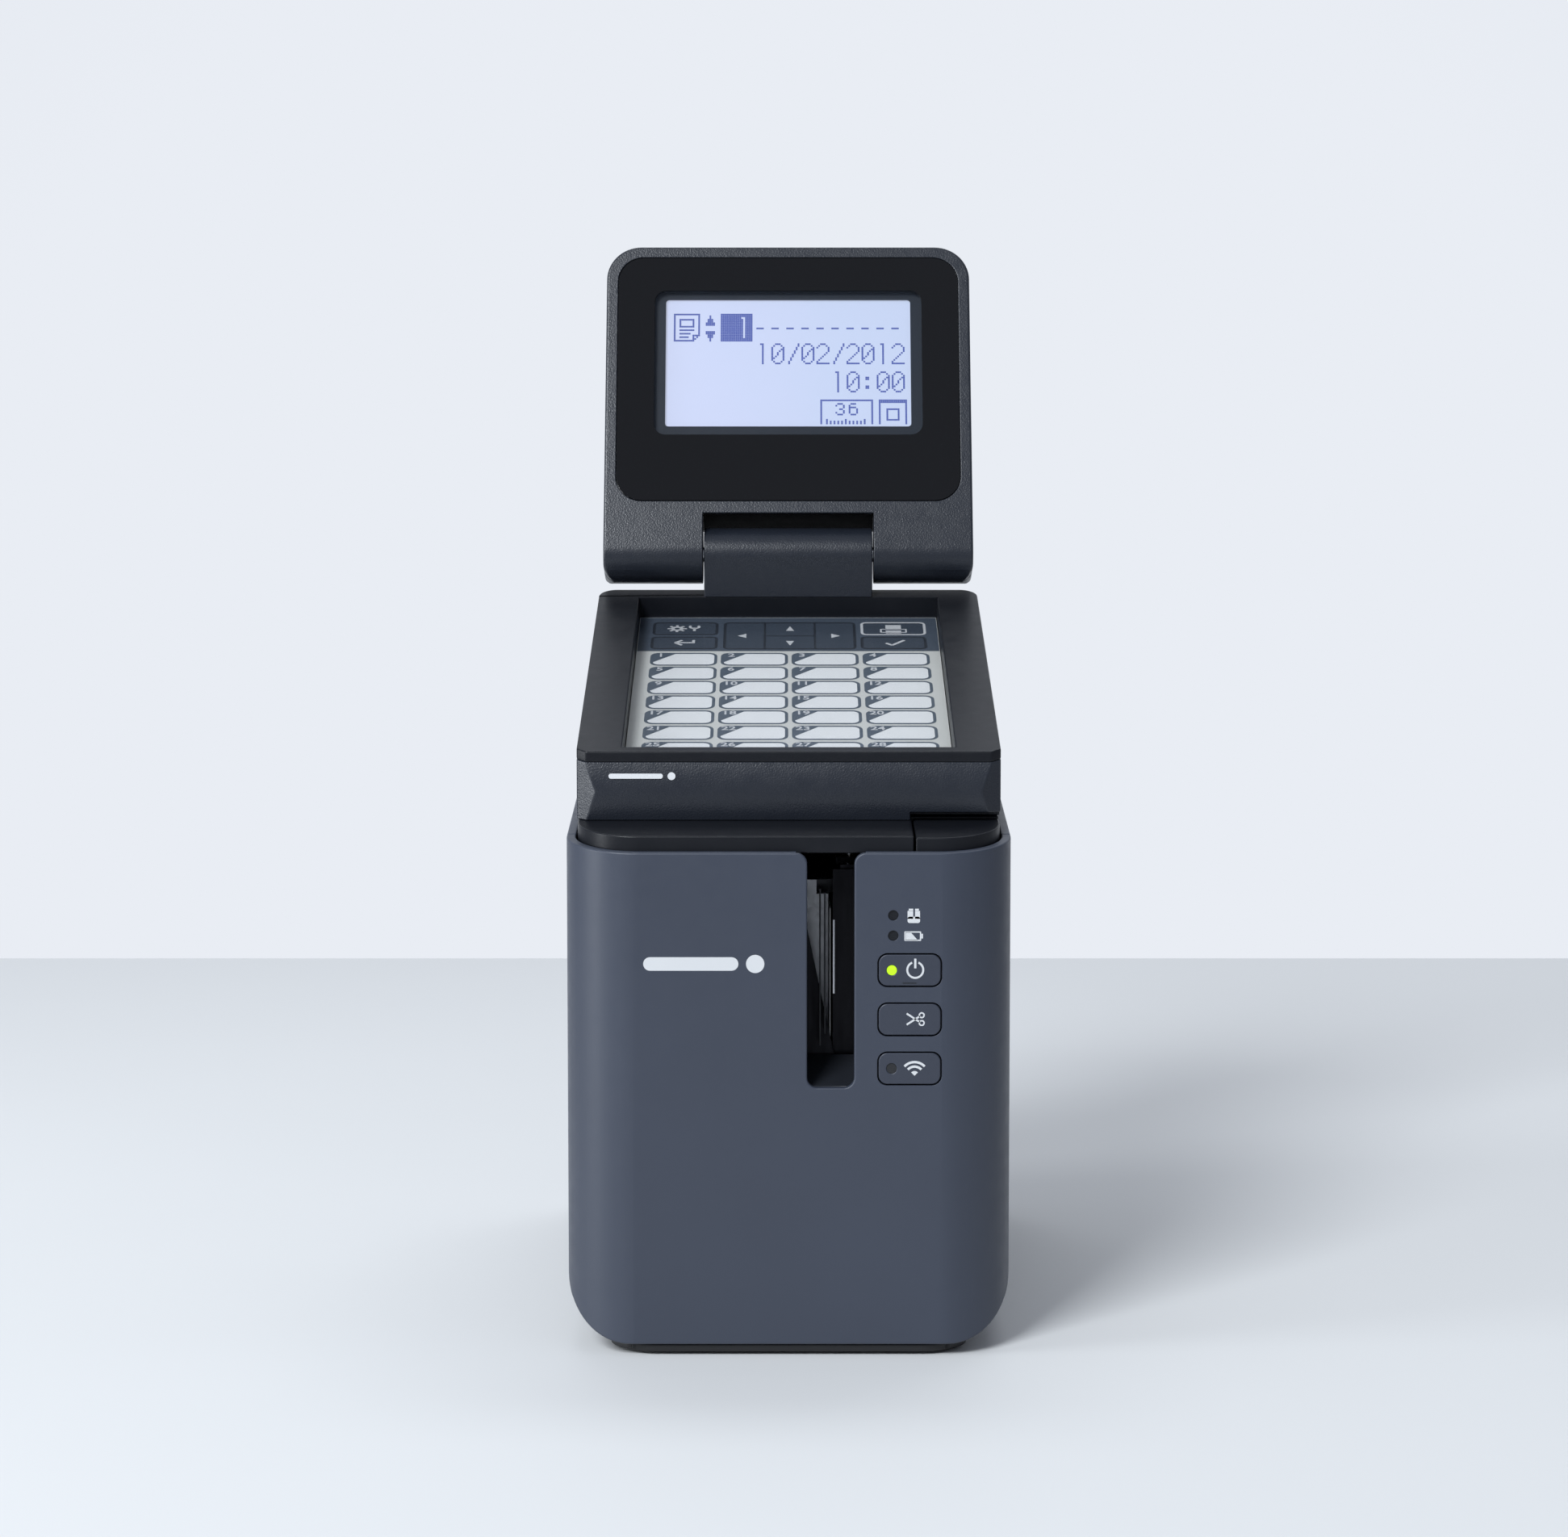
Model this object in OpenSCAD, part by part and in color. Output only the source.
// Desktop label maker with a fold-up display unit on its top cover.
// Millimetres, +Z up, front face towards -Y, origin at the centre of the footprint on the table.

/* [Printer body] */
// Width of the body
body_w = 113; // [111:1:116]
// Depth of the body
body_d = 192; // [190:1:196]
// Height of the front panel's top edge
front_top_z = 127.4; // [127:0.2:129]
// Height of the top cover at the back
cover_crest_z = 146; // [145:0.5:147]
// Radius of the front upright corners
corner_r = 19; // [18:0.5:20]
// Radius of the back upright corners
rear_r = 8; // [7:0.5:8]
// Radius of the lower edges along the sides
belly_r = 16; // [15:0.5:17]
// Wall thickness of the outer shells
wall = 2.4; // [2.2:0.1:2.6]
// Slope of the top cover, in degrees
top_slope = 8.2; // [7.8:0.1:8.6]

/* [Display unit] */
// Width of the display unit's base
unit_w = 108.2; // [107:0.2:109]
// Slope of the key panel, in degrees
panel_slope = 17.8; // [17:0.2:18.4]
// Width of the well over the key panel
well_w = 85; // [82:1:86]
// Depth of the well over the key panel
well_deep = 5.6; // [5:0.2:6]
// Width of the lid
lid_w = 105.4; // [104:0.2:106]
// Length of the lid from the hinge axis to its top edge
lid_l = 92; // [91:0.5:94]
// Thickness of the lid
lid_t = 16.6; // [15:0.2:16.8]
// How far the open lid leans back from upright, in degrees
lid_lean = 20; // [15:1:25]

/* [Controls] */
// Width of a front button
button_w = 15.5; // [15:0.1:16]
// Height of a front button
button_h = 7.9; // [7.6:0.1:8.2]
// Spacing of the front buttons
button_pitch = 12.4; // [12.2:0.1:12.8]

/* [Drive] */
// Gear module
gear_module = 0.8; // [0.8:0.1:0.8]
// Radius of the platen roller
platen_r = 5; // [4.8:0.1:5]

/* [Hidden] */
$fn = 48;
half_w = body_w / 2;
half_d = body_d / 2;
inner_w = half_w - wall;
inner_d = half_d - wall;
shell_z = 3;
sole_w = 39.8;
seam_y = -half_d + 20;
seam_gap = 0.1;
top_tan = tan(top_slope);
shell_crest_z = cover_crest_z - 3.5;
crest_y = -half_d + (shell_crest_z - front_top_z) / top_tan;

// Front controls
slot_x = [4.6, 16.4];
slot_z = 68.3;
button_x = 30.25;
button_z = [98, 98 - button_pitch, 98 - 2 * button_pitch];
button_r = 2.2;
button_gap = 0.35;
led_x = 26.1;
led_z = [111.8, 106.7];
led_r = 1.3;
lens_x = 25.75;

// Top cover and its hinge
cover_gap = 0.4;
cover_w = inner_w - cover_gap;
cover_front = -inner_d + 0.6;
cover_plate = 2.4;
cover_skirt = 2;
cover_lip = 4;
hinge_y = 86;
hinge_z = cover_crest_z - 7;
hinge_r = 7;
hinge_pin_r = 2;
barrel_w = 50.2;
post_x = [36, 44];
release_x = 31.8;
release_back = -72;

// Inner frame
floor_z = [67, 69.4];
frame_w = 52.6;
frame_y = [-71.4, 78];
frame_wall = [49.4, 51.4];
frame_top = 124;
legs = [[-34, -58], [34, -58], [-34, 66], [34, 66]];
leg_r = 4;

// Paper path and drive
tape_x = 10.6;
platen_at = [tape_x + 0.3 + platen_r, -56];
idler_n = 40;
platen_n = 20;
ribbon_n = 24;
motor_n = 12;
function step_from(p, r, a) = [p[0] + r * cos(a), p[1] + r * sin(a)];
idler_at = step_from(platen_at, gear_module * (idler_n + platen_n) / 2, 120);
ribbon_dir = 60;
motor_dir = 180;
ribbon_at = step_from(idler_at, gear_module * (idler_n + ribbon_n) / 2, ribbon_dir);
motor_at = step_from(idler_at, gear_module * (idler_n + motor_n) / 2, motor_dir);
gear_z = [59.2, 64.2];
plate_z = [57, 58.2];
tape_z = [75, 111];

// Cutter, which swings about an axis along Y
cutter_pivot = [13, 67];
sector_n = 55;
cutter_n = 12;
cutter_open = 12;
cutter_drop = gear_module * (sector_n + cutter_n) / 2;
cutter_y = [-75.6, -74.1];

// Cassette
cassette_x = [-46, 26];
cassette_y = [-46, 48];
cassette_z = [69.6, 115.6];
cassette_wall = 1.6;
tape_roll_at = [-17, 14];
tape_roll_r = 26;
ribbon_supply_at = [17, 24];

// Display unit: u runs up the slope from the front edge of the well, n is out of the slope
well_front = [-73.1, 152.4];
unit_front = -78.3;
unit_back = 42;
well_l = 114;
bezel_n = 2.6;
tub_n = 9;
tub_wall = 2;
lid_axis = [41, 199.3];
lid_half = lid_t / 2;
lid_barrel = 7.6;
block_w = 24;
block_gap = 0.4;
lid_notch = 9.8;
lid_pin_r = 2.2;

// ---------- heights and shared outlines ----------

// Height of the shells' top edge at depth y
function shell_top(y) = min(shell_crest_z, front_top_z + (y + half_d) * top_tan);
// Height of the top cover's surface at depth y
function cover_top(y) = shell_top(y) + 3.5;
// Height of the key panel's rim plane at depth y, or of a plane n above it
function rim_top(y, n = 0) =
    well_front[1] + (y - well_front[0]) * tan(panel_slope) + n / cos(panel_slope);

module block(from, to) {
    translate(from) cube(to - from);
}

// Rectangle with one radius at its low-Y corners and another at its high-Y corners
module rounded_rect(x, y, r, r_high = 0) {
    far = r_high > 0 ? r_high : r;
    middle = (y[0] + y[1]) / 2;
    translate([x[0] + r, y[0]]) square([x[1] - x[0] - 2 * r, middle - y[0]]);
    translate([x[0] + far, middle - 1]) square([x[1] - x[0] - 2 * far, y[1] - middle + 1]);
    translate([x[0], y[0] + r]) square([x[1] - x[0], y[1] - y[0] - r - far]);
    for (cx = [x[0] + r, x[1] - r])
        translate([cx, y[0] + r]) circle(r);
    for (cx = [x[0] + far, x[1] - far])
        translate([cx, y[1] - far]) circle(far);
}

// Outline in the Y-Z plane, carried along X
module along_x(x, points) {
    translate([x[0], 0, 0]) rotate([90, 0, 90]) linear_extrude(x[1] - x[0]) polygon(points);
}

// Outline in the X-Z plane, carried along Y
module along_y(y) {
    translate([0, y[1], 0]) rotate([90, 0, 0]) linear_extrude(y[1] - y[0]) children();
}

module rod_x(at, x, r) {
    translate([x[0], at[0], at[1]]) rotate([0, 90, 0]) cylinder(h = x[1] - x[0], r = r);
}

module rod_y(at, y, r) {
    translate([at[0], y[0], at[1]]) rotate([-90, 0, 0]) cylinder(h = y[1] - y[0], r = r);
}

module rod_z(at, z, r) {
    translate([at[0], at[1], z[0]]) cylinder(h = z[1] - z[0], r = r);
}

module ring_z(at, z, r_out, r_in) {
    difference() {
        rod_z(at, z, r_out);
        rod_z(at, [z[0] - 1, z[1] + 1], r_in);
    }
}

// Everything below a top line that climbs from the front, then runs level
module under_top(y, drop) {
    along_x([-half_w - 1, half_w + 1], [
        [y[0], -1], [y[1], -1], [y[1], shell_crest_z - drop],
        [crest_y, shell_crest_z - drop], [y[0], shell_top(y[0]) - drop]
    ]);
}

// ---------- outer shells ----------

module body_outline(inset) {
    r = corner_r - inset;
    intersection() {
        translate([0, 0, shell_z + inset])
            linear_extrude(cover_crest_z)
                rounded_rect([-half_w + inset, half_w - inset], [-half_d + inset, half_d - inset], r,
                    rear_r - inset);
        along_y([-half_d - 1, half_d + 1])
            rounded_rect([-half_w + inset, half_w - inset], [shell_z + inset, 300], belly_r - inset);
    }
}

module shell_wall() {
    difference() {
        body_outline(0);
        body_outline(wall);
        block([-sole_w - 0.2, -inner_d, 0], [sole_w + 0.2, inner_d, 20]);
    }
}

module slot_shape() {
    flare = 2.8;
    r = 2.6;
    rounded_rect(slot_x, [slot_z, slot_z + 100], r);
    difference() {
        translate([slot_x[0] - flare, front_top_z - flare])
            square([slot_x[1] - slot_x[0] + 2 * flare, flare + 1]);
        for (x = [slot_x[0] - flare, slot_x[1] + flare])
            translate([x, front_top_z - flare]) circle(flare);
    }
}

module button_shape(z, grow) {
    rounded_rect([button_x - button_w / 2 - grow, button_x + button_w / 2 + grow],
        [z - button_h / 2 - grow, z + button_h / 2 + grow], button_r + grow);
}

// Bosses that the front circuit board is screwed to
panel_y = [-87, -85.4];
panel_bosses = [[43.2, 66], [43.2, 110], [22.3, 114]];

module front_cover() {
    color([0.27, 0.30, 0.35]) difference() {
        union() {
            for (p = panel_bosses)
                rod_y(p, [-inner_d - 0.5, panel_y[0]], 1.8);
            intersection() {
                shell_wall();
                under_top([-half_d - 1, half_d], 0);
                block([-half_w - 1, -half_d - 1, 0], [half_w + 1, seam_y - seam_gap, 200]);
            }
        }
        along_y([-half_d - 1, -inner_d + 1]) slot_shape();
        for (z = button_z)
            along_y([-half_d - 1, -inner_d + 1]) button_shape(z, button_gap);
        for (z = led_z)
            rod_y([led_x, z], [-half_d - 1, -inner_d + 1], led_r);
    }
}

lan_x = [-38, -22];
usb_b_x = [-14, -2];
usb_a_x = [6, 20.5];
dc_x = [30, 39];
board_z = [12, 13.6];

module side_shell() {
    gap = 0.3;
    lug_foot = [124, hinge_z];
    color([0.27, 0.30, 0.35]) difference() {
        union() {
            intersection() {
                shell_wall();
                under_top([-half_d - 1, half_d + 1], 0);
                block([-half_w - 1, seam_y + seam_gap, 0], [half_w + 1, half_d + 1, 200]);
            }
            // hinge lugs on the back wall, and ears that close the cover's corners
            for (x = [post_x, [-post_x[1], -post_x[0]], [barrel_w + 0.4, inner_w + 0.5],
                    [-inner_w - 0.5, -barrel_w - 0.4]]) {
                block([x[0], hinge_y - hinge_r + 0.5, lug_foot[0]], [x[1], inner_d + 0.5, lug_foot[1]]);
                rod_x([hinge_y, hinge_z], x, hinge_r - 0.1);
            }
        }
        for (s = [-1, 1])
            rod_x([hinge_y, hinge_z], s > 0 ? [post_x[0] - 1, post_x[1] + 1] :
                [-post_x[1] - 1, -post_x[0] + 1], hinge_pin_r);
        for (hole = [[lan_x, 27.1], [usb_b_x, 24.6], [usb_a_x, 21], [dc_x, 24.6]])
            block([hole[0][0] - gap, inner_d - 1, board_z[1] - gap],
                [hole[0][1] + gap, half_d + 1, hole[1] + gap]);
        // vent slots low on the back
        for (i = [0:7])
            block([-31.5 + 9 * i - 2.5, inner_d - 1, 60], [-31.5 + 9 * i + 2.5, half_d + 1, 62]);
    }
}

foot_at = [[-32, -80], [32, -80], [-32, 80], [32, 80]];
foot_r = 6;
foot_top = 2.6;
board_posts = [[-30, -24], [30, -24], [-30, 88], [30, 88]];
screw_r = 1.5;

module base_plate() {
    z = [0.8, 4.6];
    edge_w = 45.5;
    edge_d = half_d - 1.2;
    color([0.06, 0.06, 0.07]) difference() {
        union() {
            block([-sole_w, -inner_d + 0.3, z[0]], [sole_w, inner_d - 0.3, z[1]]);
            translate([0, 0, z[0]]) linear_extrude(shell_z - 0.1 - z[0])
                rounded_rect([-edge_w, edge_w], [-edge_d, edge_d], 12, 8);
            for (p = board_posts)
                rod_z(p, [z[1] - 1, board_z[0]], 3);
        }
        for (p = legs) {
            rod_z(p, [0, 10], screw_r + 0.2);
            rod_z(p, [0, 3.2], 3.2);
        }
        for (p = foot_at)
            rod_z(p, [0, foot_top], foot_r);
    }
}

module rubber_feet() {
    color([0.10, 0.10, 0.11]) for (p = foot_at)
        rod_z(p, [0, foot_top], foot_r);
}

module chassis_screws() {
    color([0.75, 0.75, 0.77]) for (p = legs) {
        rod_z(p, [2, 3.2], 3);
        rod_z(p, [3.2, 16], screw_r);
    }
}

// ---------- inner frame and electronics ----------

module bay_frame() {
    color([0.10, 0.10, 0.11]) difference() {
        union() {
            block([-frame_w, frame_y[0], floor_z[0]], [frame_w, frame_y[1], floor_z[1]]);
            for (s = [-1, 1])
                block([s > 0 ? frame_wall[0] : -frame_wall[1], frame_y[0], floor_z[1] - 1],
                    [s > 0 ? frame_wall[1] : -frame_wall[0], frame_y[1], frame_top]);
            block([-frame_wall[1], frame_y[1] - 2, floor_z[1] - 1],
                [frame_wall[1], frame_y[1], frame_top]);
            for (p = legs)
                rod_z(p, [4.6, floor_z[0] + 1], leg_r);
            // shelf under the release button
            block([37, -84, 112], [frame_wall[1], frame_y[0] + 1, 114.4]);
        }
        for (p = legs)
            rod_z(p, [0, 18], screw_r + 0.1);
        rod_z(platen_at, [60, 80], 4.5);
        rod_z(ribbon_at, [60, 80], 5);
        rod_z(release_stem_at, [100, 120], release_stem_r + 0.1);
    }
}

module exit_chute() {
    t = 1.6;
    y = [-inner_d + 0.2, -76.4];
    x = [slot_x[0] - 0.2, slot_x[1] + 0.2];
    color([0.05, 0.05, 0.06]) {
        difference() {
            block([x[0] - t, y[0], slot_z - 2.4], [x[1] + t, y[1], 122]);
            block([x[0], y[0] - 1, slot_z - 0.4], [x[1], y[1] + 1, 130]);
        }
        // ramp that the label slides down
        along_x(x, [[y[0], slot_z - 1], [y[1], slot_z - 1], [y[1], slot_z + 5.5], [y[0], slot_z]]);
    }
}

module main_board() {
    color([0.10, 0.30, 0.16]) difference() {
        block([-44, -30, board_z[0]], [44, 92, board_z[1]]);
        for (p = legs)
            rod_z(p, [10, 16], leg_r + 0.5);
    }
}

// A metal-shelled socket on the board, open at the back wall
module socket(x, z_top, hole_x, hole_z, depth) {
    difference() {
        block([x[0], 80, board_z[1]], [x[1], half_d, z_top]);
        block([hole_x[0], half_d - depth, hole_z[0]], [hole_x[1], half_d + 1, hole_z[1]]);
    }
}

module lan_socket() {
    color([0.62, 0.62, 0.64]) socket(lan_x, 27.1, [-36, -24], [16, 24.5], 12);
}

module usb_device_socket() {
    color([0.70, 0.70, 0.72]) {
        socket(usb_b_x, 24.6, [-12.2, -3.8], [15.2, 23], 9);
        block([-10.8, half_d - 9.5, 17.5], [-5.2, half_d - 1, 20.7]);
    }
}

module usb_host_socket() {
    color([0.70, 0.70, 0.72]) {
        socket(usb_a_x, 21, [7.2, 19.3], [14.8, 19.8], 12);
        block([7.8, half_d - 12.5, 17.6], [18.7, half_d - 2, 19.3]);
    }
}

module dc_jack() {
    at = [(dc_x[0] + dc_x[1]) / 2, 19.4];
    color([0.05, 0.05, 0.06]) {
        difference() {
            block([dc_x[0], 80, board_z[1]], [dc_x[1], half_d, 24.6]);
            rod_y(at, [half_d - 10, half_d + 1], 3.2);
        }
        rod_y(at, [half_d - 10.5, half_d - 1], 1);
    }
}

module panel_board() {
    color([0.10, 0.30, 0.16]) block([20, panel_y[0], 62], [46, panel_y[1], 116]);
}

module tact_switches() {
    color([0.12, 0.12, 0.13]) for (z = button_z) {
        block([button_x - 3, panel_y[0] - 1.6, z - 3], [button_x + 3, panel_y[0], z + 3]);
        rod_y([button_x, z], [panel_y[0] - 2.2, panel_y[0] - 1.5], 1.7);
    }
}

module indicator_lenses() {
    color([0.16, 0.17, 0.19]) for (z = led_z)
        rod_y([led_x, z], [-half_d + 0.6, panel_y[0]], led_r - 0.05);
}

// ---------- front buttons ----------

lens_r = 1.25;

module button_cap(z, lens) {
    flange = 1;
    difference() {
        union() {
            along_y([-half_d, -inner_d + 0.5]) button_shape(z, 0);
            along_y([-inner_d + 0.4, -inner_d + 1.4]) button_shape(z, flange);
            rod_y([button_x, z], [-inner_d + 1, panel_y[0] - 3.1], 2);
        }
        if (lens) rod_y([lens_x, z], [-half_d - 1, -inner_d + 3], lens_r);
    }
}

module power_button() { color([0.28, 0.31, 0.36]) button_cap(button_z[0], true); }
module cut_button() { color([0.28, 0.31, 0.36]) button_cap(button_z[1], false); }
module wireless_button() { color([0.28, 0.31, 0.36]) button_cap(button_z[2], true); }

module lens(z) { rod_y([lens_x, z], [-half_d + 0.1, -inner_d + 1.4], lens_r); }
module power_lens() { color([0.72, 0.90, 0.05]) lens(button_z[0]); }
module wireless_lens() { color([0.14, 0.15, 0.17]) lens(button_z[2]); }

// ---------- release button ----------

release_stem_at = [43, -79];
release_stem_r = 2.5;
release_under = 121;

module cover_plan(y, grow = 0) {
    intersection() {
        linear_extrude(cover_crest_z + 50)
            rounded_rect([-cover_w - grow, cover_w + grow], [cover_front - grow, 200],
                corner_r - wall - cover_gap + grow);
        block([-half_w, y[0], 0], [half_w, y[1], 300]);
    }
}

module release_button() {
    color([0.07, 0.07, 0.08]) {
        intersection() {
            cover_plan([-half_d, release_back]);
            block([release_x, -half_d, release_under], [half_w, release_back, 200]);
            under_top([-half_d, half_d], -3.1);
        }
        rod_z(release_stem_at, [106, release_under + 1], release_stem_r);
    }
}

// Coil of round wire, swept ring by ring
module coil(at, z, r, wire, turns) {
    steps = 14;
    sides = 8;
    n = turns * steps;
    points = [for (i = [0:n], k = [0:sides - 1])
        let (a = 360 * i / steps, b = 360 * k / sides,
             h = z[0] + wire + (z[1] - z[0] - 2 * wire) * i / n)
        [at[0] + (r + wire * cos(b)) * cos(a), at[1] + (r + wire * cos(b)) * sin(a),
            h + wire * sin(b)]];
    walls = [for (i = [0:n - 1], k = [0:sides - 1])
        [i * sides + k, i * sides + (k + 1) % sides,
            (i + 1) * sides + (k + 1) % sides, (i + 1) * sides + k]];
    caps = [[for (k = [sides - 1:-1:0]) k], [for (k = [0:sides - 1]) n * sides + k]];
    polyhedron(points, concat([for (w = walls) [w[3], w[2], w[1], w[0]]],
        [for (c = caps) [for (k = [len(c) - 1:-1:0]) c[k]]]));
}

module release_spring() {
    color([0.75, 0.75, 0.77]) coil(release_stem_at, [114.5, release_under - 0.1], 3.6, 0.4, 4);
}

// ---------- gears ----------

pressure = 25;

function involute(base, r, a = 0) =
    let (t = sqrt(max(0, pow(r / base, 2) - 1)))
    [r * cos(a + t * 180 / PI - atan(t)), r * sin(a + t * 180 / PI - atan(t))];

// Outline of a spur gear, or of its first few teeth, with teeth centred on the X axis
module gear_outline(n, backlash = 0.12) {
    m = gear_module;
    pitch_r = m * n / 2;
    base = pitch_r * cos(pressure);
    tip = pitch_r + 0.8 * m;
    root = pitch_r - 1.1 * m;
    t0 = sqrt(pow(pitch_r / base, 2) - 1);
    lean = 90 / n - backlash / pitch_r * 90 / PI + t0 * 180 / PI - atan(t0);
    low = max(root, base);
    flank = [for (i = [0:3]) let (r = low + (tip - low) * i / 3, p = involute(base, r))
        [norm(p), lean - atan2(p[1], p[0])]];
    polygon([for (k = [0:n - 1]) let (c = 360 * k / n)
        each concat(
            [[root * cos(c - flank[0][1]), root * sin(c - flank[0][1])]],
            [for (f = flank) [f[0] * cos(c - f[1]), f[0] * sin(c - f[1])]],
            [for (i = [3:-1:0]) let (f = flank[i]) [f[0] * cos(c + f[1]), f[0] * sin(c + f[1])]],
            [[root * cos(c + flank[0][1]), root * sin(c + flank[0][1])]])]);
}

// Angle that puts a follower of n teeth in mesh with a driver of m teeth along direction a
function mesh_angle(n, driver_n, a, driver_angle = 0) =
    let (p = (a - driver_angle) * driver_n / 360, frac = p - floor(p))
    a + 180 + (frac - 0.5) * 360 / n;

module spur(at, z, n, angle) {
    translate([at[0], at[1], z[0]]) rotate([0, 0, angle])
        linear_extrude(z[1] - z[0]) gear_outline(n);
}

stud_r = 2;
stud_gap = 0.05;

module idler_gear() {
    color([0.85, 0.83, 0.76]) difference() {
        spur(idler_at, gear_z, idler_n, 0);
        rod_z(idler_at, [50, 70], stud_r + stud_gap);
        for (k = [0:4])
            rod_z(step_from(idler_at, 9.5, 72 * k), [gear_z[0] - 1, gear_z[1] + 1], 3);
    }
}

module motor_pinion() {
    color([0.80, 0.66, 0.35]) {
        spur(motor_at, gear_z, motor_n, mesh_angle(motor_n, idler_n, motor_dir));
        rod_z(motor_at, [plate_z[0] - 4, gear_z[0] + 1], 1);
    }
}

module platen_shaft() {
    color([0.78, 0.78, 0.80]) {
        spur(platen_at, gear_z, platen_n, mesh_angle(platen_n, idler_n, -60));
        rod_z(platen_at, [gear_z[0] - 0.6, 124], 2.5);
    }
}

module platen_rubber() {
    color([0.12, 0.12, 0.13]) ring_z(platen_at, [tape_z[0] - 1, tape_z[1] + 2], platen_r, 2.5);
}

module ribbon_spindle() {
    color([0.85, 0.83, 0.76]) difference() {
        union() {
            spur(ribbon_at, gear_z, ribbon_n, mesh_angle(ribbon_n, idler_n, ribbon_dir));
            rod_z(ribbon_at, [gear_z[1] - 1, 113], 3);
            rod_z(ribbon_at, tape_z, 5.5);
        }
        rod_z(ribbon_at, [58, 66], 1.5 + stud_gap);
    }
}

module tape_roll() {
    color([0.93, 0.93, 0.92]) ring_z(tape_roll_at, tape_z, tape_roll_r, 6.1);
}

// ---------- print mechanism ----------

plate_posts = [[-25.5, -64], [25.5, -64], [-25.5, -1], [25.5, -1]];

module mech_plate() {
    color([0.72, 0.73, 0.75]) difference() {
        union() {
            block([-28, -67, plate_z[0]], [28, 2, plate_z[1]]);
            for (p = plate_posts)
                rod_z(p, [plate_z[1] - 1, floor_z[0]], 2.5);
            rod_z(idler_at, [plate_z[1] - 1, gear_z[1] + 2.3], stud_r);
            rod_z(ribbon_at, [plate_z[1] - 1, gear_z[1] + 0.8], 1.5);
        }
        rod_z(motor_at, [50, 70], 2);
    }
}

module feed_motor() {
    color([0.60, 0.61, 0.63]) difference() {
        union() {
            rod_z(motor_at, [29, plate_z[0] - 0.1], 14);
            block([motor_at[0] - 20, motor_at[1] - 4, plate_z[0] - 1.3],
                [motor_at[0] + 20, motor_at[1] + 4, plate_z[0] - 0.1]);
        }
        rod_z(motor_at, [plate_z[0] - 5, plate_z[0] + 1], 1.1);
    }
}

module cutter_motor() {
    at = [cutter_pivot[0], cutter_pivot[1] - cutter_drop];
    color([0.60, 0.61, 0.63]) difference() {
        rod_y(at, [-71.3, -45], 9);
        rod_y(at, [-72, -66], 1.1);
    }
}

bracket_y = [-72.6, -71.4];

module cutter_bracket() {
    color([0.72, 0.73, 0.75]) difference() {
        union() {
            block([-12, bracket_y[0], 31], [29, bracket_y[1], 122]);
            rod_y(cutter_pivot, [cutter_y[0] - 0.6, bracket_y[1]], 2);
        }
        block([4, bracket_y[0] - 1, 74], [13.2, bracket_y[1] + 1, 123]);
        rod_y([cutter_pivot[0], cutter_pivot[1] - cutter_drop],
            [bracket_y[0] - 1, bracket_y[1] + 1], 2);
    }
}

module fixed_blade() {
    color([0.80, 0.81, 0.83]) block([11.3, cutter_y[1] + 0.2, 73.5], [18, bracket_y[0] - 0.1, 121]);
}

module cutter_lever() {
    at = cutter_pivot;
    reach = 54;
    sector_r = gear_module * sector_n / 2;
    color([0.80, 0.81, 0.83]) along_y(cutter_y) difference() {
        translate(at) union() {
            // blade, whose edge runs out from the pivot
            rotate(cutter_open) polygon([[0, 0], [0, reach], [-8, reach], [-8, 12], [-5, -3]]);
            circle(5);
            // toothed sector below the pivot
            intersection() {
                rotate(-90) gear_outline(sector_n);
                polygon([[0, 0], [-9, -30], [9, -30]]);
            }
        }
        translate(at) circle(2 + stud_gap);
    }
}

module cutter_pinion() {
    at = [cutter_pivot[0], cutter_pivot[1] - cutter_drop];
    turn = mesh_angle(cutter_n, sector_n, -90, -90);
    color([0.80, 0.66, 0.35]) {
        along_y(cutter_y) translate(at) rotate(turn) gear_outline(cutter_n);
        rod_y(at, [cutter_y[1] - 0.5, -67], 1);
    }
}

arm_z = [121.4, 123];

module platen_bearings() {
    color([0.80, 0.66, 0.35]) for (z = [floor_z, arm_z])
        ring_z(platen_at, z, z[0] < 100 ? 4.5 : 4, 2.55);
}

module platen_arm() {
    color([0.72, 0.73, 0.75]) difference() {
        union() {
            block([12.2, -63, arm_z[0]], [30, -49, arm_z[1]]);
            rod_z([27, -56], [floor_z[1], arm_z[0] + 1], 2.5);
        }
        rod_z(platen_at, [110, 130], 4);
    }
}

head_x = [5.2, 10.3];
head_y = -56.5;
head_pins = [87, 107];
head_pin_r = 1.5;

module head_bracket() {
    color([0.72, 0.73, 0.75]) {
        block([-8, -63, floor_z[1]], [-5, -50, 119]);
        for (z = head_pins)
            rod_x([head_y, z], [-6, head_x[0] - 1], head_pin_r);
    }
}

module print_head() {
    color([0.55, 0.56, 0.58]) difference() {
        union() {
            block([head_x[0] - 4, -62, 75], [head_x[0] + 2, -51, 117]);
            block([head_x[0] + 1, -59, 77], [head_x[1], -54, 113]);
            for (i = [0:3])
                block([head_x[0] - 6.4, -61.5 + 3 * i, 92], [head_x[0] - 3, -60.1 + 3 * i, 102]);
        }
        for (z = head_pins)
            rod_x([head_y, z], [-6, head_x[0] + 2.4], head_pin_r + stud_gap);
    }
}

module cassette_shape(z, inset) {
    translate([0, 0, z[0]]) linear_extrude(z[1] - z[0])
        rounded_rect([cassette_x[0] + inset, cassette_x[1] - inset],
            [cassette_y[0] + inset, cassette_y[1] - inset], 5 - inset);
}

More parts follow.
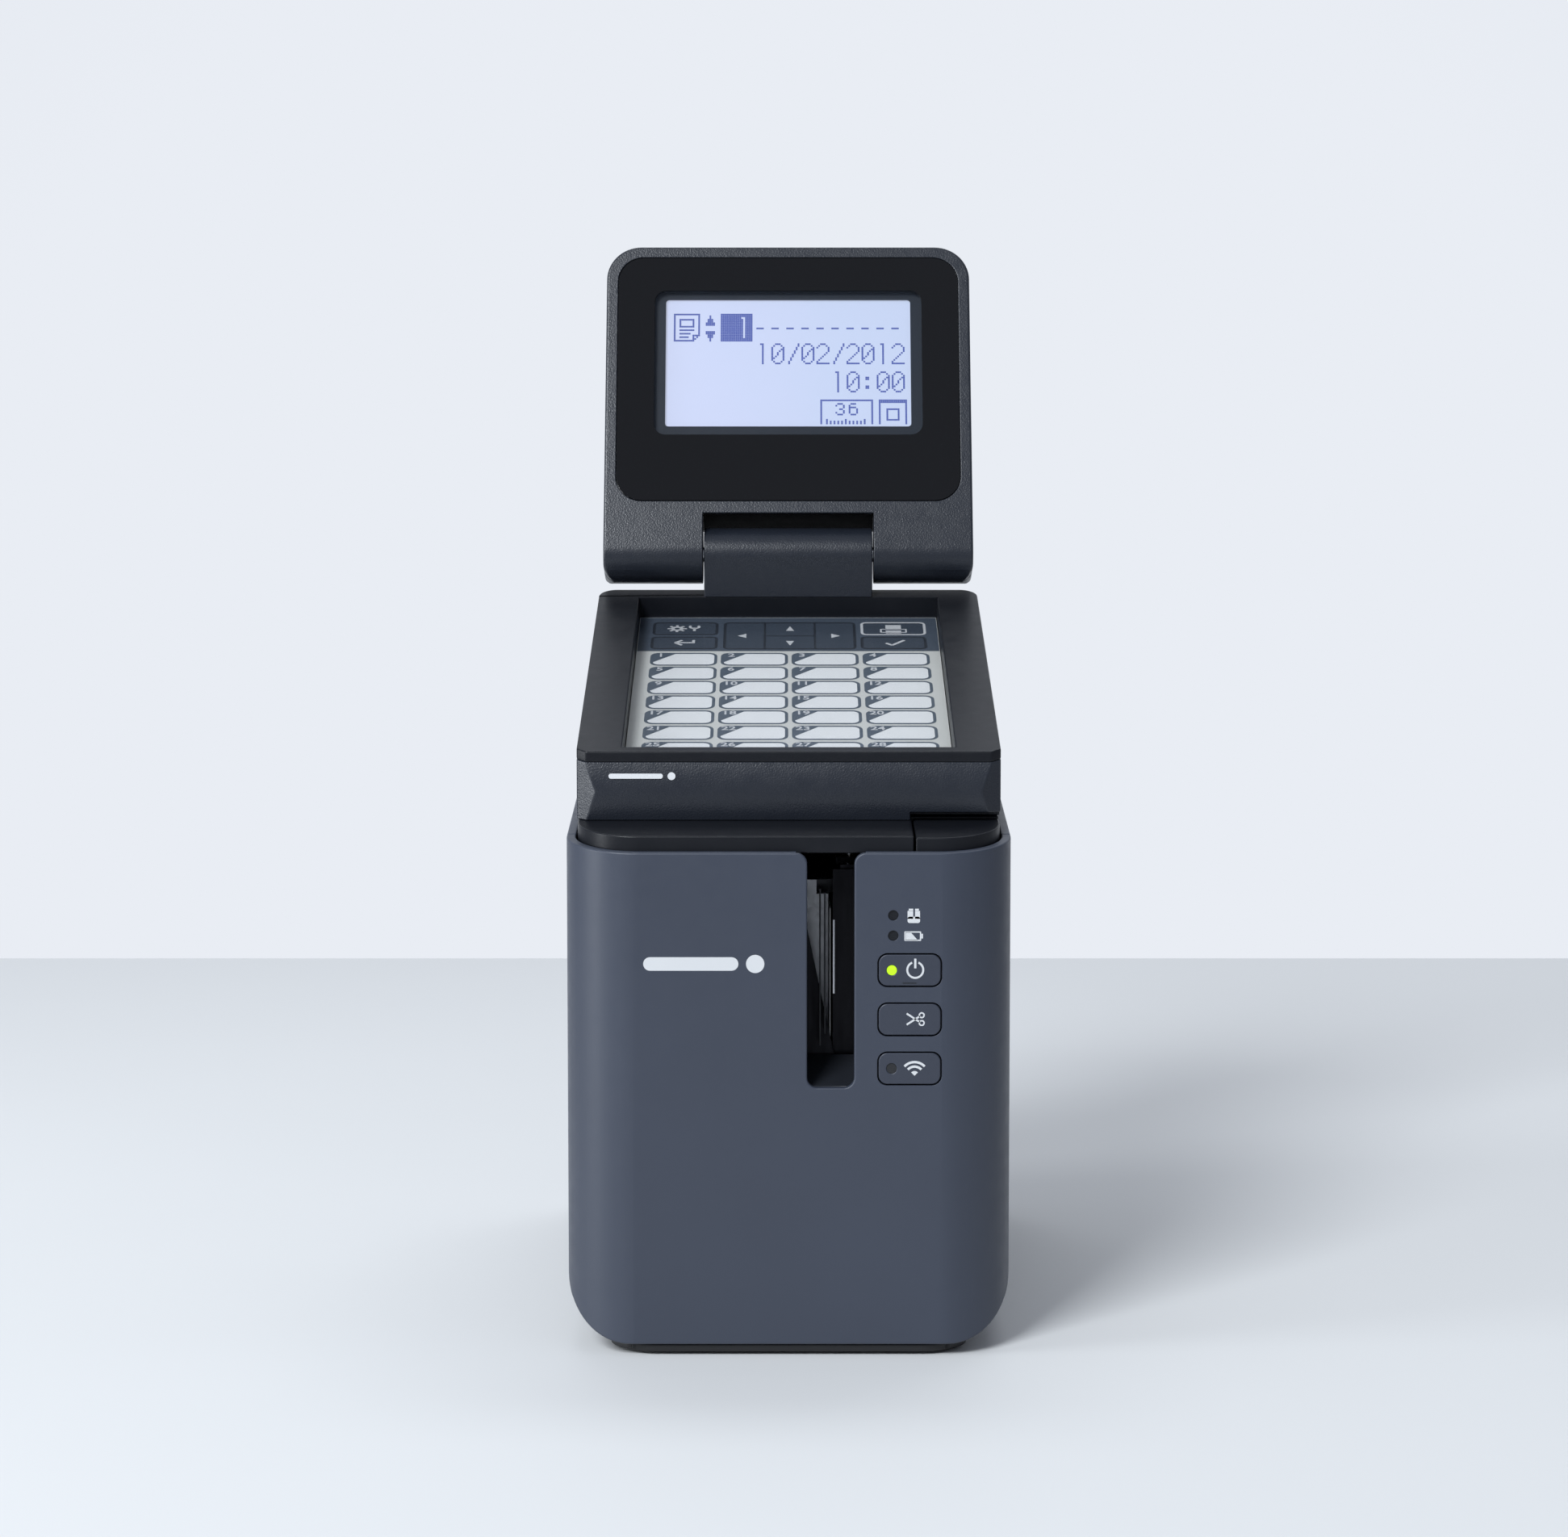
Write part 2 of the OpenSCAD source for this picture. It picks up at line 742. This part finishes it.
module cassette_case() {
    color([0.14, 0.14, 0.15]) difference() {
        union() {
            difference() {
                cassette_shape([cassette_z[0], cassette_z[1] - 4], 0);
                cassette_shape([cassette_z[0] + cassette_wall, cassette_z[1]], cassette_wall);
            }
            rod_z(tape_roll_at, [cassette_z[0] + 1, tape_z[1]], 6);
            rod_z(ribbon_supply_at, [cassette_z[0] + 1, tape_z[1]], 7);
        }
        rod_z(ribbon_at, [60, 75], 4);
        block([tape_x - 1.2, cassette_y[0] - 1, tape_z[0] - 2],
            [tape_x + 1.2, cassette_y[0] + 3, cassette_z[1]]);
    }
}

module cassette_lid() {
    color([0.16, 0.16, 0.17]) difference() {
        cassette_shape([cassette_z[1] - 4, cassette_z[1]], 0);
        cassette_shape([cassette_z[1] - 5, cassette_z[1] - 1.6], cassette_wall);
        block([-40, -8, cassette_z[1] - 3], [6, 36, cassette_z[1] + 1]);
    }
}

module label_tape() {
    t = 0.1;
    color([0.95, 0.95, 0.94]) translate([0, 0, tape_z[0]]) linear_extrude(tape_z[1] - tape_z[0])
        polygon([[9.35, 14], [9.35 + 2 * t, 14], [tape_x + t, -44], [tape_x + t, -73.8],
            [tape_x - t, -73.8], [tape_x - t, -44]]);
}

module cover_hinge_pins() {
    color([0.75, 0.75, 0.77]) for (s = [-1, 1])
        rod_x([hinge_y, hinge_z], s > 0 ? [30, 50] : [-50, -30], hinge_pin_r);
}

// ---------- top cover ----------

module top_cover() {
    y = [-half_d, hinge_y];
    bore_r = hinge_pin_r + stud_gap;
    color([0.07, 0.07, 0.08]) difference() {
        union() {
            difference() {
                intersection() {
                    cover_plan(y);
                    under_top([-half_d, half_d], -3.5);
                }
                // hollow below the plate, inside the skirt
                intersection() {
                    cover_plan([-half_d, hinge_y - hinge_r + 3], -cover_skirt);
                    under_top([-half_d, half_d], cover_plate - 3.5);
                }
                // nothing hangs below the skirt
                under_top([-half_d - 1, half_d + 1], cover_lip);
            }
            intersection() {
                rod_x([hinge_y, hinge_z], [-barrel_w, barrel_w], hinge_r);
                block([-half_w, hinge_y - 4, 100], [half_w, 200, 200]);
            }
        }
        rod_x([hinge_y, hinge_z], [-barrel_w - 1, barrel_w + 1], bore_r);
        for (s = [-1, 1])
            block([s > 0 ? post_x[0] - 0.3 : -post_x[1] - 0.3, hinge_y - hinge_r - 1.5, 100],
                [s > 0 ? post_x[1] + 0.3 : -post_x[0] + 0.3, 200, 200]);
        block([release_x - 0.5, -half_d - 1, 100], [half_w, release_back + 0.6, 200]);
        // the tape comes out below its front edge
        block([slot_x[0] - 1.4, -half_d - 1, 100], [slot_x[1] + 1.4, -80, front_top_z - 0.3]);
        // the shell's ears stand here
        for (s = [-1, 1])
            block([s > 0 ? barrel_w : -half_w, hinge_y - hinge_r, 100],
                [s > 0 ? half_w : -barrel_w, 200, 200]);
    }
}

// ---------- display unit ----------

// Places children whose X is across, Y is u up the slope and Z is n out of it
module on_slope() {
    translate([0, well_front[0], well_front[1]]) rotate([panel_slope, 0, 0]) children();
}

unit_half = unit_w / 2;
nose_z = 141.2;
nose_back = 1.9;
flank = 5;
flank_y = 3.8;

// Side profile of the whole unit on the cover, with a ridge along its front
function unit_profile() = [
    [unit_front + nose_back, cover_top(unit_front + nose_back)],
    [crest_y, cover_crest_z], [unit_back, cover_crest_z],
    [unit_back, rim_top(unit_back)], [unit_front + nose_back, rim_top(unit_front + nose_back)],
    [unit_front + nose_back, rim_top(unit_front, -bezel_n)], [unit_front, nose_z]
];

// Everything below a plane n above the key panel's rim
module below_rim(n) {
    along_x([-half_w, half_w], [
        [-100, 100], [80, 100], [80, rim_top(80, n)], [-100, rim_top(-100, n)]
    ]);
}

module unit_shape() {
    r = 5;
    difference() {
        intersection() {
            along_x([-unit_half, unit_half], unit_profile());
            // plan, with the front corners cut back and the back ones rounded
            linear_extrude(250) union() {
                polygon([
                    [-unit_half, unit_front + flank_y], [-unit_half + flank, unit_front],
                    [unit_half - flank, unit_front], [unit_half, unit_front + flank_y],
                    [unit_half, unit_back - r], [-unit_half, unit_back - r]
                ]);
                rounded_rect([-unit_half, unit_half], [0, unit_back], r);
            }
        }
        // finger room over the release button
        block([release_x - 0.8, unit_front - 1, 120],
            [half_w, release_back + 1.4, 135.8]);
    }
}

// The tub that holds the key panel, grown by a gap
module tub(gap) {
    grow = tub_wall + gap;
    on_slope() block([-well_w / 2 - grow, -grow, -tub_n - gap],
        [well_w / 2 + grow, well_l + grow, 0]);
}

module unit_case() {
    w = unit_half - 2.2;
    back = unit_back - 2.4;
    color([0.07, 0.07, 0.08]) difference() {
        intersection() {
            unit_shape();
            below_rim(-bezel_n);
        }
        along_x([-w, w], [
            [-69.5, cover_top(-69.5) + 2.4], [crest_y, cover_crest_z + 2.4],
            [back, cover_crest_z + 2.4], [back, rim_top(back)], [-69.5, rim_top(-69.5)]
        ]);
        tub(0.2);
    }
}

module unit_bezel() {
    lip = 2;
    color([0.07, 0.07, 0.08]) difference() {
        union() {
            difference() {
                unit_shape();
                below_rim(-bezel_n);
            }
            tub(0);
        }
        on_slope() {
            block([-well_w / 2, 0, -7.8], [well_w / 2, well_l, 10]);
            block([-well_w / 2 + lip, lip, -tub_n - 1], [well_w / 2 - lip, well_l - lip, 0]);
        }
    }
}

module well_layer(n) {
    gap = 0.2;
    on_slope() block([-well_w / 2 + gap, gap, n[0]], [well_w / 2 - gap, well_l - gap, n[1]]);
}

module touch_sensor() { color([0.12, 0.14, 0.17]) well_layer([-7.8, -6.4]); }
module key_sheet() { color([0.80, 0.83, 0.85]) well_layer([-6.4, -6.1]); }
module sheet_cover() { color([0.85, 0.88, 0.92, 0.4]) well_layer([-6.1, -well_deep]); }

module unit_board() {
    color([0.10, 0.30, 0.16]) on_slope() {
        block([-40, 8, -14], [40, 104, -12.4]);
        for (x = [-34, 34], u = [14, 98])
            translate([x, u, -12.6]) cylinder(h = 12.6 - tub_n, r = 2.5);
    }
}

module hinge_block() {
    front = 35.2;
    color([0.07, 0.07, 0.08]) difference() {
        union() {
            rod_x(lid_axis, [-block_w, block_w], lid_barrel);
            along_x([-block_w, block_w], [
                [front, rim_top(front)], [unit_back, rim_top(unit_back)],
                [unit_back, 168], [48.6, 172], [48.6, lid_axis[1]], [33.5, lid_axis[1] - 1.2]
            ]);
        }
        rod_x(lid_axis, [-60, 60], lid_pin_r);
    }
}

module lid_hinge_pin() {
    color([0.75, 0.75, 0.77]) rod_x(lid_axis, [-48, 48], lid_pin_r);
}

module unit_screws() {
    color([0.75, 0.75, 0.77]) for (x = [-30, 30], y = [-40, 30]) {
        z = cover_top(y) + 2.4;
        rod_z([x, y], [z + 0.8, z + 2.4], 2.8);
    }
}

// ---------- lid ----------

// Places children whose Z runs up the lid from its hinge axis and whose -Y is its front
module on_lid() {
    translate([0, lid_axis[0], lid_axis[1]]) rotate([-lid_lean, 0, 0]) children();
}

lid_split = -1;
lid_wall = 2;
window_x = 49.4;
window_z = [13.4, 88.6];

module lid_outline() {
    half = lid_w / 2;
    difference() {
        rounded_rect([-half, half], [-lid_half, lid_l], 3.5, 10);
        translate([-block_w - block_gap, -lid_half - 1])
            square([2 * (block_w + block_gap), lid_notch + lid_half + 1]);
    }
}

module lid_solid() {
    intersection() {
        along_y([-lid_half, lid_half]) lid_outline();
        union() {
            rod_x([0, 0], [-lid_w, lid_w], lid_half);
            block([-lid_w, -lid_half, 0], [lid_w, lid_half, 200]);
        }
    }
}

module lid_half_shell(front) {
    hollow_w = lid_w / 2 - lid_wall;
    difference() {
        lid_solid();
        block([-lid_w, front ? lid_split : -50, -50], [lid_w, front ? 50 : lid_split, 200]);
        block([-hollow_w, -lid_half + lid_wall, lid_notch + 3.5],
            [hollow_w, lid_half - lid_wall, lid_l - lid_wall - 5]);
        rod_x([0, 0], [-50, 50], lid_pin_r + stud_gap + 0.01);
    }
}

module lid_back() { color([0.07, 0.07, 0.08]) on_lid() lid_half_shell(false); }

module lid_front() {
    sight_x = 39.4;
    color([0.07, 0.07, 0.08]) on_lid() difference() {
        lid_half_shell(true);
        along_y([-lid_half - 1, -lid_half + 1])
            rounded_rect([-window_x, window_x], window_z, 7.5);
        along_y([-lid_half - 1, lid_half]) rounded_rect([-sight_x, sight_x], [33.5, 78.3], 3);
    }
}

module lid_window() {
    color([0.02, 0.02, 0.02, 0.6]) on_lid() along_y([-lid_half, -lid_half + 1])
        rounded_rect([-window_x + 0.1, window_x - 0.1], window_z + [0.1, -0.1], 7.4);
}

module lcd_frame() {
    color([0.13, 0.15, 0.19]) on_lid() difference() {
        block([-42, -lid_half + 2.1, 30], [42, 1.4, 83]);
        along_y([-lid_half + 2, -lid_half + 3]) rounded_rect([-35.5, 35.5], [36.9, 76.4], 1);
        block([-38, -lid_half + 2.9, 34.9], [38, 0, 78.5]);
    }
}

module lcd_glass() {
    color([0.78, 0.84, 0.96]) on_lid() block([-37.8, -lid_half + 3, 35.1], [37.8, -0.2, 78.3]);
}

module lid_board() {
    color([0.10, 0.30, 0.16]) on_lid() block([-44, 2, 18], [44, 3.6, 84]);
}

module lid_screws() {
    color([0.75, 0.75, 0.77]) on_lid() for (x = [-40, 40], z = [22, 80])
        rod_y([x, z], [3.7, lid_half - lid_wall], 2.2);
}

// ---------- nodes ----------

front_cover();
side_shell();
base_plate();
rubber_feet();
bay_frame();
exit_chute();
main_board();
usb_device_socket();
lan_socket();
usb_host_socket();
dc_jack();
panel_board();
tact_switches();
indicator_lenses();
mech_plate();
feed_motor();
cutter_motor();
cutter_bracket();
fixed_blade();
platen_bearings();
platen_arm();
head_bracket();
cassette_case();
cassette_lid();
label_tape();
cover_hinge_pins();
chassis_screws();
release_spring();
top_cover();
unit_case();
unit_bezel();
touch_sensor();
key_sheet();
sheet_cover();
unit_board();
hinge_block();
lid_hinge_pin();
unit_screws();
lid_back();
lid_front();
lid_window();
lcd_frame();
lcd_glass();
lid_board();
lid_screws();
release_button();
power_button();
power_lens();
cut_button();
wireless_button();
wireless_lens();
platen_shaft();
platen_rubber();
idler_gear();
motor_pinion();
ribbon_spindle();
tape_roll();
cutter_lever();
cutter_pinion();
print_head();
